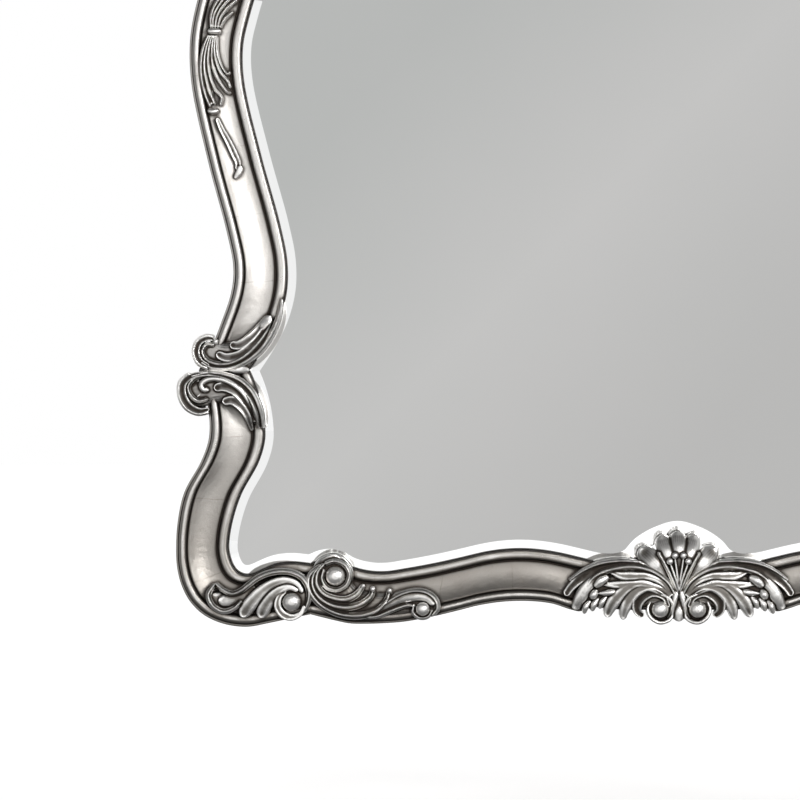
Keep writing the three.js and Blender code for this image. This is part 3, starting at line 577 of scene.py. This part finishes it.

# Brown-black across the moulding, partly patination and partly painted shade in its grooves: distance out
# from the sight edge, then how hollow it counts as.
PATINA_AND_SHADE_ACROSS = [
    (0, 1.3), (1.0, 0.35), (2.4, 0.0), (5.3, -0.35), (9, 0.0), (10.6, 0.35), (12.0, 1.15), (13.2, 1.15),
    (14.8, 0.35), (17, 0.1), (24, 0.0), (38, 0.0), (44.5, 0.1), (46.6, 0.5), (47.6, 1.05), (48.6, 0.8),
    (49.6, 0.15), (53, -0.4), (56.5, 0.05), (57.6, 0.9), (58.2, 0.8), (59, 0.1), (60, -0.2), (61, 0.2),
]
WOOD_EDGE_ANGLE = math.radians(50)  # edges sharper than these stay crisp in the shading
GLASS_EDGE_ANGLE = math.radians(4.5)


def frame_point(station, out, depth):
    """A point of the frame, at a distance out from the sight edge and a depth in front of the back."""
    share = out / MOULDING_WIDTH
    sight, outer = station[:2], station[2:]
    x, z = sight + (outer - sight) * share
    return (x, BACK_Y - depth, z)


def narrowed(node, station, out, depth):
    """Draws a rail in behind its shell and wings, so that their petals and leaf tips stand clear of it."""
    if not node.endswith("rail"):
        return out
    scale = CREST_SCALE if node == "top_rail" else 1.0
    off_centre = abs(station[0]) / scale
    if depth >= REBATE_DEPTH:
        out += SIGHT_TUCK * fade(off_centre, *SIGHT_TUCK_ENDS) * max(0.0, 1 - out / INNER_HALF)
    outer_share = max(0.0, (out - (MOULDING_WIDTH - INNER_HALF)) / INNER_HALF)
    return out - OUTER_TUCK * fade(off_centre, *OUTER_TUCK_ENDS) * outer_share


def fade(value, near, far):
    """1 up to near, then a smooth fall to 0 at far."""
    t = min(max((value - near) / (far - near), 0.0), 1.0)
    return 1 - t * t * (3 - 2 * t)


def make_length(node, stations):
    """One length of carved moulding: silvered in front, bare wood behind and in the rebate."""
    profile = moulding_profile()
    size = len(profile)
    vertices = np.array([
        frame_point(station, narrowed(node, station, out, depth), depth)
        for station in stations for out, depth in profile])
    piece = make_piece(f"{node}_carved", vertices, ring_faces(len(stations), size))
    run = np.concatenate([[0], np.cumsum(np.linalg.norm(np.diff(stations[:, :2], axis=0), axis=1))])
    store(piece.data, "run", np.repeat(run, size))
    # the profile's patination and painted shade, as hollow values
    across = np.interp([out for out, depth in profile], *zip(*PATINA_AND_SHADE_ACROSS))
    store(piece.data, "hollow", np.tile(across, len(stations)))
    shade_smooth(piece)
    backs = np.zeros(len(piece.data.polygons), np.int32)
    ring = np.arange((len(stations) - 1) * size) % size
    backs[:len(ring)] = ring >= size - BARE_CORNERS
    backs[len(ring):] = 1
    piece.data.polygons.foreach_set("material_index", backs)
    piece.data.set_sharp_from_angle(angle=WOOD_EDGE_ANGLE)
    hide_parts(node)
    return piece


LENGTHS = [
    "upper_stile_left", "lower_stile_left", "bottom_rail",
    "lower_stile_right", "upper_stile_right", "top_rail",
]
stations = {node: stations_of(node) for node in LENGTHS}
lengths = {node: make_length(node, stations[node]) for node in LENGTHS}


def frame_loop():
    """Stations all the way round: down the left, along the bottom, up the right and back over the top."""
    down, back_up = LENGTHS[:3], LENGTHS[3:]
    order = [stations[node] for node in down] + [stations[node][::-1] for node in back_up]
    joined = np.vstack([order[0]] + [part[1:] for part in order[1:]])
    return joined[:-1]


# ---- glass and board
GLASS_FRONT = BACK_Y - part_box("mirror_glass")[0][1] / MM  # depths in front of the frame's back
GLASS_BACK = BACK_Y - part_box("mirror_glass")[1][1] / MM
GLASS_EDGE = GLASS_BACK + 2.5  # where the bevel meets the glass's rim
GLASS_TUCK = 7.0  # glass hidden behind the sight edge
BEVEL_SHOWING = 12.0
BOARD_FRONT = BACK_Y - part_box("backing_board")[0][1] / MM
BOARD_TUCK = 6.0
FELT_INNER, FELT_OUTER = 1.5, 6.5  # the felt strip's edges, out from the sight edge
LOOP_STEP = 2.0
LOOP_EASING, OFFSET_EASING = 3, 4  # smoothing passes of the sight loop and of its offsets
OFFSET_SLACK = 0.15  # an offset point nearer to the loop by more than this goes


def eased(loop, passes):
    """The closed loop with its corners a little rounded."""
    for _ in range(passes):
        loop = (np.roll(loop, 1, 0) + 2 * loop + np.roll(loop, -1, 0)) / 4
    return loop


def sight_loop():
    """The sight edge all round, evenly sampled."""
    loop = frame_loop()[:, :2]
    return eased(resample(np.vstack([loop, loop[:1]]), LOOP_STEP)[:-1], LOOP_EASING)


def offset_loop(loop, out):
    """The loop moved out (or in, if negative) by a true distance; its points keep their order and count."""
    if out == 0:
        return loop
    heading = np.roll(loop, -1, 0) - np.roll(loop, 1, 0)
    heading /= np.linalg.norm(heading, axis=1)[:, None]
    outward = np.column_stack([heading[:, 1], -heading[:, 0]])
    centre = loop.mean(0)
    if ((loop - centre) * outward).sum() < 0:
        outward = -outward
    moved = loop + out * outward
    nearest = np.array([np.min(np.linalg.norm(loop - point, axis=1)) for point in moved])
    good = np.flatnonzero(nearest >= abs(out) - OFFSET_SLACK)
    count = len(loop)
    kept_at = np.concatenate([good - count, good, good + count])
    kept = np.vstack([moved[good]] * 3)
    every = np.arange(count)
    filled = np.column_stack([np.interp(every, kept_at, kept[:, k]) for k in (0, 1)])
    return eased(filled, OFFSET_EASING)


def level_ring(edge, depth):
    """The loop as points of the frame that all lie at one depth."""
    return np.column_stack([edge[:, 0], np.full(len(edge), BACK_Y - depth), edge[:, 1]])


def slab(name, node, outlines):
    """A flat piece through outlines that run from its back face to its front face."""
    loop = sight_loop()
    rings = [level_ring(offset_loop(loop, out), depth) for out, depth in outlines]
    piece = make_piece(name, np.vstack(rings), ring_faces(len(rings), len(loop)))
    shade_smooth(piece)
    piece.data.set_sharp_from_angle(angle=GLASS_EDGE_ANGLE)
    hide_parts(node)
    return piece


glass = slab("bevelled_glass", "mirror_glass", [
    (GLASS_TUCK, GLASS_BACK), (GLASS_TUCK, GLASS_EDGE), (-BEVEL_SHOWING, GLASS_FRONT)])


def drawn_in(loop):
    """The loop with its stretches behind the two shells moved back under them."""
    moved = loop.copy()
    for i, (x, z) in enumerate(loop):
        top = z > 0
        off_centre = abs(x) / (CREST_SCALE if top else 1)
        moved[i, 1] += (1 if top else -1) * SIGHT_TUCK * fade(off_centre, *SIGHT_TUCK_ENDS)
    return moved


def felt_strip():
    """Soft strip under the sight edge that the glass rests on."""
    low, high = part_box("rebate_felt")
    front, back = BACK_Y - low[1] / MM, BACK_Y - high[1] / MM
    loop = drawn_in(sight_loop())
    inner, outer = offset_loop(loop, FELT_INNER), offset_loop(loop, FELT_OUTER)
    corners = [(inner, back), (outer, back), (outer, front), (inner, front)]
    vertices = np.vstack([level_ring(edge, depth) for edge, depth in corners])
    piece = make_piece("felt_strip", vertices, ring_faces(len(corners), len(loop), closed=True))
    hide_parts("rebate_felt")
    return piece


felt = felt_strip()
board = slab("pressed_board", "backing_board", [(BOARD_TUCK, 0.0), (BOARD_TUCK, BOARD_FRONT)])


# ---- carved ornaments
CARVINGS = {
    "bottom_wing": WING_FORMS, "rail_scroll": RAIL_SCROLL_FORMS, "corner_leaf": CORNER_LEAF_FORMS,
    "lower_clasp": LOWER_CLASP_FORMS, "upper_clasp": UPPER_CLASP_FORMS, "husk": HUSK_FORMS,
    "ribbon": RIBBON_FORMS, "shoulder_scroll": SHOULDER_FORMS, "crest_wing": WING_FORMS,
}
MOVED = {"crest_wing": crest_place(CREST_DROOP)}
carvings = [
    carve(f"{name}_{word}", forms, (side,), MOVED.get(name, as_drawn))
    for word, side in SIDES for name, forms in CARVINGS.items()]
carvings.append(carve("bottom_shell", SHELL_FORMS, (1, -1), as_drawn))
carvings.append(carve("crest_shell", SHELL_FORMS, (1, -1), crest_place(0)))


CONTACT_SHADE_REACH = 6.0  # patination gathers and painted shade falls this far from where a carving stands
CONTACT_SHADE_DEPTH = 0.9


def mark_contact_shade_and_patina(length):
    """Deepens the hollow value of a frame length where a carving stands on it, for patination and painted
    shade round its foot.
    """
    points = points_of(length.data)
    hollow = np.empty(len(points), np.float32)
    length.data.attributes["hollow"].data.foreach_get("value", hollow)
    for carving in carvings:
        mesh = carving.data
        carved = points_of(mesh)
        low, high = carved.min(0) - CONTACT_SHADE_REACH, carved.max(0) + CONTACT_SHADE_REACH
        inside = np.flatnonzero(np.all((points > low) & (points < high), axis=1))
        if len(inside) == 0:
            continue
        tree = BVHTree.FromPolygons([v.co for v in mesh.vertices], [p.vertices for p in mesh.polygons])
        for index in inside:
            distance = tree.find_nearest(points[index] * MM, CONTACT_SHADE_REACH * MM)[3]
            if distance is not None:
                hollow[index] += CONTACT_SHADE_DEPTH * (1 - distance / (CONTACT_SHADE_REACH * MM)) ** 2
    length.data.attributes["hollow"].data.foreach_set("value", hollow)


# patination and painted shade round the carvings' feet
for length in lengths.values():
    mark_contact_shade_and_patina(length)


# ---- materials
SHADED_BELOW_M = -0.62  # painted shade: the leaf is painted darkest below this height
LIT_ABOVE_M = -0.20  # and painted brightest above this one
TOP_LIT_MOULDING, TOP_LIT_CARVING = 0.87, 1.2  # painted light: brightness of the leaf at the top of the frame
LAP_RUN = 84  # run of the moulding from one leaf's lap to the next
# colour on the crests: leaf abraded through, with a painted highlight too
RUBBED_LEAF_AND_HIGHLIGHT = (0.90, 0.885, 0.86, 1)
LAP_SHADE = (0.36, 0.33, 0.30, 1)
# brown-black of the hollows: patination, with painted shade deepening it
PATINA_AND_SHADE = (0.046, 0.038, 0.032, 1)
GRIME = (0.16, 0.135, 0.115, 1)


def grey(value):
    return (value, value, value, 1)


class Look:
    """A new material, with short calls that add the nodes used here and return their outputs."""

    def __init__(self, name):
        self.material = bpy.data.materials.new(name)
        self.material.use_nodes = True
        self.nodes = self.material.node_tree.nodes
        self.links = self.material.node_tree.links
        self.shader = self.nodes["Principled BSDF"]

    def feed(self, socket, value):
        """Links an output to the socket, or sets a plain value on it."""
        if isinstance(value, bpy.types.NodeSocket):
            self.links.new(value, socket)
        else:
            socket.default_value = value

    def surface(self, **inputs):
        """Feeds the shader's own sockets, named with underscores for spaces."""
        for name, value in inputs.items():
            self.feed(self.shader.inputs[name.replace("_", " ")], value)

    def coordinates(self, kind="Object"):
        return self.nodes.new("ShaderNodeTexCoord").outputs[kind]

    def axes(self, vector):
        node = self.nodes.new("ShaderNodeSeparateXYZ")
        self.feed(node.inputs["Vector"], vector)
        return node.outputs

    def attribute(self, name):
        node = self.nodes.new("ShaderNodeAttribute")
        node.attribute_name = name
        return node.outputs["Fac"]

    def noise(self, vector, scale, detail=4.0, roughness=0.55):
        node = self.nodes.new("ShaderNodeTexNoise")
        inputs = {"Scale": scale, "Detail": detail, "Roughness": roughness, "Vector": vector}
        for name, value in inputs.items():
            self.feed(node.inputs[name], value)
        return node.outputs["Fac"]

    def ramp(self, value, *stops):
        """Colours by position; a grey may be given as its one number."""
        node = self.nodes.new("ShaderNodeValToRGB")
        elements = node.color_ramp.elements
        elements.remove(elements[-1])
        for i, (position, colour) in enumerate(sorted(stops, key=lambda stop: stop[0])):
            element = elements[0] if i == 0 else elements.new(position)
            element.position = position
            element.color = colour if isinstance(colour, tuple) else grey(colour)
        self.feed(node.inputs["Fac"], value)
        return node.outputs["Color"]

    def mix(self, factor, first, second, blend="MIX"):
        node = self.nodes.new("ShaderNodeMix")
        node.data_type = "RGBA"
        node.blend_type = blend
        for socket, value in ((0, factor), (6, first), (7, second)):
            self.feed(node.inputs[socket], value)
        return node.outputs[2]

    def maths(self, operation, first, second):
        node = self.nodes.new("ShaderNodeMath")
        node.operation = operation
        self.feed(node.inputs[0], first)
        self.feed(node.inputs[1], second)
        return node.outputs[0]

    def bump(self, height, strength, distance):
        node = self.nodes.new("ShaderNodeBump")
        node.inputs["Strength"].default_value = strength
        node.inputs["Distance"].default_value = distance
        self.feed(node.inputs["Height"], height)
        self.feed(self.shader.inputs["Normal"], node.outputs["Normal"])


def silver_leaf(name, lowest, middle, lapped):
    """Antiqued silver leaf: abraded bright on crests, with a painted highlight there too; patinated
    brown-black in hollows, with painted shade there too; and painted shade that darkens it low down.
    """
    look = Look(name)
    where = look.coordinates()
    blotch = look.noise(where, 24, 5)
    speck = look.noise(where, 420, 3)
    uneven = look.maths("MULTIPLY", look.maths("SUBTRACT", blotch, 0.5), 0.6)
    hollow_and_blotch = look.maths("ADD", look.attribute("hollow"), uneven)
    level = look.maths("ADD", look.maths("MULTIPLY", hollow_and_blotch, 0.5), 0.5)
    # hollows: patination and painted shade, darkest where deepest
    patina_and_shade = look.ramp(level, (0.47, 0), (0.60, 0.25), (0.74, 0.70), (0.88, 0.96), (1.0, 1))
    # crests: leaf abraded through, with a painted highlight too
    rubbed_and_highlight = look.ramp(level, (0.24, 1), (0.44, 0))
    leaf = look.ramp(blotch, (0.30, (0.50, 0.475, 0.45, 1)), (0.72, (0.73, 0.71, 0.68, 1)))
    if lapped:
        leaf = look.mix(lap_lines(look, where), leaf, LAP_SHADE)
    # painted shade: the leaf's colour darkens lower down the frame
    leaf = look.mix(1.0, leaf, painted_shade_by_height(look, where, lowest, middle, lapped), "MULTIPLY")
    leaf = look.mix(rubbed_and_highlight, leaf, RUBBED_LEAF_AND_HIGHLIGHT)
    grime = look.maths("MULTIPLY", look.ramp(speck, (0.62, 0), (0.74, 1)), 0.25)
    colour = look.mix(grime, look.mix(patina_and_shade, leaf, PATINA_AND_SHADE), GRIME)
    rough = look.ramp(blotch, (0.3, 0.38), (0.7, 0.26))
    rougher = look.maths("ADD", rough, look.maths("MULTIPLY", patina_and_shade, 0.25))
    look.surface(Base_Color=colour, Metallic=1.0, Roughness=rougher)
    coarse = look.maths("MULTIPLY", look.noise(where, 110, 3), 2.2)
    look.bump(look.maths("ADD", look.noise(where, 900, 4, 0.65), coarse), 0.30, 0.0006)
    return look.material


def painted_shade_by_height(look, where, lowest, middle, lapped):
    """Painted shade by height: the leaf's colour darkens down the frame, for the dimmer light low down."""
    height = look.nodes.new("ShaderNodeMapRange")
    height.inputs["From Min"].default_value = SHADED_BELOW_M
    height.inputs["From Max"].default_value = LIT_ABOVE_M
    look.feed(height.inputs["Value"], look.axes(where)["Z"])
    top_lit = TOP_LIT_MOULDING if lapped else TOP_LIT_CARVING
    return look.ramp(height.outputs["Result"], (0.0, (*lowest, 1)), (0.5, middle), (1.0, top_lit))


def lap_lines(look, where):
    """A thin broken line where one leaf laps over the next."""
    wobble = look.maths("MULTIPLY", look.noise(where, 40, 2), 5)
    phase = look.maths("MODULO", look.maths("ADD", look.attribute("run"), wobble), LAP_RUN)
    line = look.ramp(look.maths("DIVIDE", phase, LAP_RUN), (0.0, 0.7), (0.012, 0), (0.99, 0), (1.0, 0.7))
    return look.maths("MULTIPLY", line, look.ramp(look.noise(where, 60, 3), (0.42, 0), (0.6, 1)))


def bare_wood():
    look = Look("bare_wood")
    stretch = look.nodes.new("ShaderNodeMapping")
    stretch.inputs["Scale"].default_value = (1, 1, 9)
    look.feed(stretch.inputs["Vector"], look.coordinates())
    grain = look.noise(stretch.outputs["Vector"], 60, 6)
    look.surface(Base_Color=look.ramp(grain, (0.3, (0.20, 0.12, 0.065, 1)), (0.75, (0.42, 0.29, 0.17, 1))),
                 Roughness=look.ramp(grain, (0.3, 0.75), (0.7, 0.6)))
    look.bump(grain, 0.4, 0.0005)
    return look.material


def mirror_silver():
    look = Look("mirror_silver")
    haze = look.noise(look.coordinates(), 3.5, 3)
    tint = look.ramp(haze, (0.3, (0.865, 0.872, 0.868, 1)), (0.7, (0.885, 0.887, 0.885, 1)))
    look.surface(Base_Color=tint, Roughness=look.ramp(haze, (0.3, 0.012), (0.7, 0.022)), Metallic=1.0)
    return look.material


def pressed_hardboard():
    look = Look("pressed_hardboard")
    where = look.coordinates()
    fibre = look.noise(where, 350, 6, 0.7)
    cloud = look.noise(where, 9, 3)
    tone = look.maths("ADD", look.maths("MULTIPLY", fibre, 0.6), look.maths("MULTIPLY", cloud, 0.4))
    look.surface(Base_Color=look.ramp(tone, (0.3, (0.13, 0.075, 0.04, 1)), (0.7, (0.30, 0.19, 0.11, 1))),
                 Roughness=look.ramp(fibre, (0.3, 0.85), (0.7, 0.68)))
    look.bump(fibre, 0.5, 0.0004)
    return look.material


def plain(name, dark, light, scale, roughness, metallic=0.0, strength=0.2):
    """A fine-grained material of one hue for the small fittings."""
    look = Look(name)
    grain = look.noise(look.coordinates(), scale, 4)
    look.surface(Base_Color=look.ramp(grain, (0.3, (*dark, 1)), (0.7, (*light, 1))),
                 Roughness=look.ramp(grain, (0.3, roughness + 0.08), (0.7, roughness - 0.06)),
                 Metallic=metallic)
    look.bump(grain, strength, 0.0003)
    return look.material


# the colour and grey given next set the painted shade at the bottom and at mid height
leaf_lapped = silver_leaf("silver_leaf_lapped", (0.53, 0.515, 0.495), 0.86, True)
leaf_plain = silver_leaf("silver_leaf_carved", (0.33, 0.32, 0.305), 0.52, False)
wood_back = bare_wood()
for length in lengths.values():
    length.data.materials.append(leaf_lapped)
    length.data.materials.append(wood_back)
for carving in carvings:
    carving.data.materials.append(leaf_plain)
glass.data.materials.append(mirror_silver())
board.data.materials.append(pressed_hardboard())
FITTINGS = {
    "felt": plain("dark_felt", (0.02, 0.018, 0.016), (0.06, 0.055, 0.05), 900, 0.9, strength=0.6),
    "beech": plain("beech_dowel", (0.45, 0.30, 0.17), (0.62, 0.45, 0.28), 200, 0.6),
    "zinc_steel": plain("zinc_plate", (0.50, 0.51, 0.52), (0.68, 0.69, 0.70), 300, 0.35, 1.0),
    "brass": plain("brass_plate", (0.55, 0.40, 0.17), (0.78, 0.60, 0.30), 260, 0.32, 1.0),
    "rubber": plain("bumper_rubber", (0.012, 0.012, 0.012), (0.03, 0.03, 0.03), 700, 0.8),
}
felt.data.materials.append(FITTINGS["felt"])
slot_of = {row["node"]: row["material_slot"] for row in frame["record"]["subparts"]}
for node, cad in frame["nodes"].items():
    if slot_of[node] in FITTINGS:
        for holder in cad.material_slots:
            holder.link = "OBJECT"
            holder.material = FITTINGS[slot_of[node]]


# ---- stage, light and camera; every length from here on is in metres
VIEW_X, VIEW_Z = -0.3336, -0.444  # middle of the framed view, on the frame's front
VIEW_WIDTH = 0.96
VIEW_DISTANCE = 5.0
VIEW_DEPTH = 0.03  # the framed width is measured this far off the wall
SENSOR = 36
FLOOR_Z, FLOOR_HALF = -1.0, 30.0
FLOOR_GLOW = 0.16
CARD_BEHIND, CARD_HALF = 0.4, 1.06  # the grey card's place behind the camera, and half its size
LIGHT_SPREAD = math.radians(110)


def panel(name, corners):
    """A flat sheet of the stage."""
    mesh = bpy.data.meshes.new(name)
    mesh.from_pydata(corners, [], [(0, 1, 2, 3)])
    made = linked(name, mesh)
    return made


def pale_floor():
    """A white studio floor, lit through from below so that it runs into the white behind it."""
    look = Look("pale_floor")
    tone = look.ramp(look.noise(look.coordinates(), 3, 3), (0.3, 0.88), (0.7, 0.92))
    look.surface(Base_Color=tone, Emission_Color=tone, Emission_Strength=FLOOR_GLOW, Roughness=0.8)
    corners = [(x * FLOOR_HALF, y * FLOOR_HALF, FLOOR_Z) for x, y in ((-1, -1), (1, -1), (1, 1), (-1, 1))]
    panel("floor", corners).data.materials.append(look.material)


def front_camera():
    """Looks level along +Y at the part of the frame that is shown."""
    data = bpy.data.cameras.new("camera")
    camera = linked("camera", data)
    camera.location = (VIEW_X, -VIEW_DISTANCE, VIEW_Z)
    camera.rotation_euler = (math.radians(90), 0, 0)
    data.lens = SENSOR * (VIEW_DISTANCE - VIEW_DEPTH) / VIEW_WIDTH
    data.sensor_width = SENSOR
    data.clip_end = 100
    bpy.context.scene.camera = camera


def seen_in_reflections(made, look, shade):
    """Makes a panel glow in the given shade, for reflections only."""
    made.visible_camera = False
    made.visible_diffuse = False
    made.visible_shadow = False
    look.nodes.remove(look.shader)
    glow = look.nodes.new("ShaderNodeEmission")
    look.feed(glow.inputs["Color"], shade)
    look.feed(look.nodes["Material Output"].inputs["Surface"], glow.outputs["Emission"])
    made.data.materials.append(look.material)


def reflected_card():
    """The grey sweep of the studio that the flat glass mirrors."""
    left, right = VIEW_X - CARD_HALF, VIEW_X + CARD_HALF
    low, high = VIEW_Z - CARD_HALF, VIEW_Z + CARD_HALF
    y = -VIEW_DISTANCE - CARD_BEHIND
    card = panel("grey_card", [(left, y, low), (right, y, low), (right, y, high), (left, y, high)])
    look = Look("grey_card")
    across = look.axes(look.coordinates("Generated"))
    diagonal = look.maths("MULTIPLY", look.maths("SUBTRACT", across["X"], across["Z"]), 0.5)
    seen_in_reflections(card, look, look.ramp(
        look.maths("ADD", diagonal, 0.5), (0.30, (0.545, 0.552, 0.545, 1)),
        (0.5, (0.63, 0.625, 0.62, 1)), (0.70, (0.56, 0.555, 0.55, 1))))


def flag(name, corners, dark, bright, axis):
    """A grey panel that shades from dark to bright along one of its own axes."""
    look = Look(name)
    along_axis = look.axes(look.coordinates("Generated"))[axis]
    seen_in_reflections(panel(name, corners), look, look.ramp(along_axis, (0.0, dark), (1.0, bright)))


def studio_world():
    """An even white studio."""
    world = bpy.data.worlds.new("studio")
    bpy.context.scene.world = world
    world.use_nodes = True
    background = world.node_tree.nodes["Background"]
    background.inputs["Color"].default_value = (1, 1, 1, 1)
    background.inputs["Strength"].default_value = 1.0


def softbox(name, location, target, size, power):
    """A soft rectangular light, aimed at the target."""
    data = bpy.data.lights.new(name, "AREA")
    data.shape = "RECTANGLE"
    data.size, data.size_y = size
    data.energy = power
    data.spread = LIGHT_SPREAD
    light = linked(name, data)
    light.location = location
    light.rotation_euler = (Vector(target) - Vector(location)).to_track_quat("-Z", "Y").to_euler()


pale_floor()
front_camera()
reflected_card()
flag("ceiling_flag", [(-4, -4.2, 0.8), (4, -4.2, 0.8), (4, 0.4, 1.7), (-4, 0.4, 1.7)], 0.40, 0.08, "Y")
flag("left_flag", [(-2.6, -3.4, -1), (-2.6, -3.4, 1.6), (-2.6, 0.4, 1.6), (-2.6, 0.4, -1)], 0.45, 0.08, "Y")
flag("floor_flag", [(-4, -0.95, -0.97), (4, -0.95, -0.97), (4, 0.4, -0.97), (-4, 0.4, -0.97)],
     0.30, 0.06, "Y")
flag("right_flag", [(3, -3.4, -1), (3, -3.4, 1.5), (3, 0.4, 1.5), (3, 0.4, -1)], 0.20, 0.9, "Z")
studio_world()
softbox("right_light", (1.6, -3.2, 0.5), (-0.4, 0, -0.2), (1.6, 1.0), 19)
softbox("front_light", (-0.9, -4.6, 1.2), (-0.4, 0, -0.5), (1.0, 0.6), 8)

bpy.context.scene.view_settings.view_transform = "Standard"
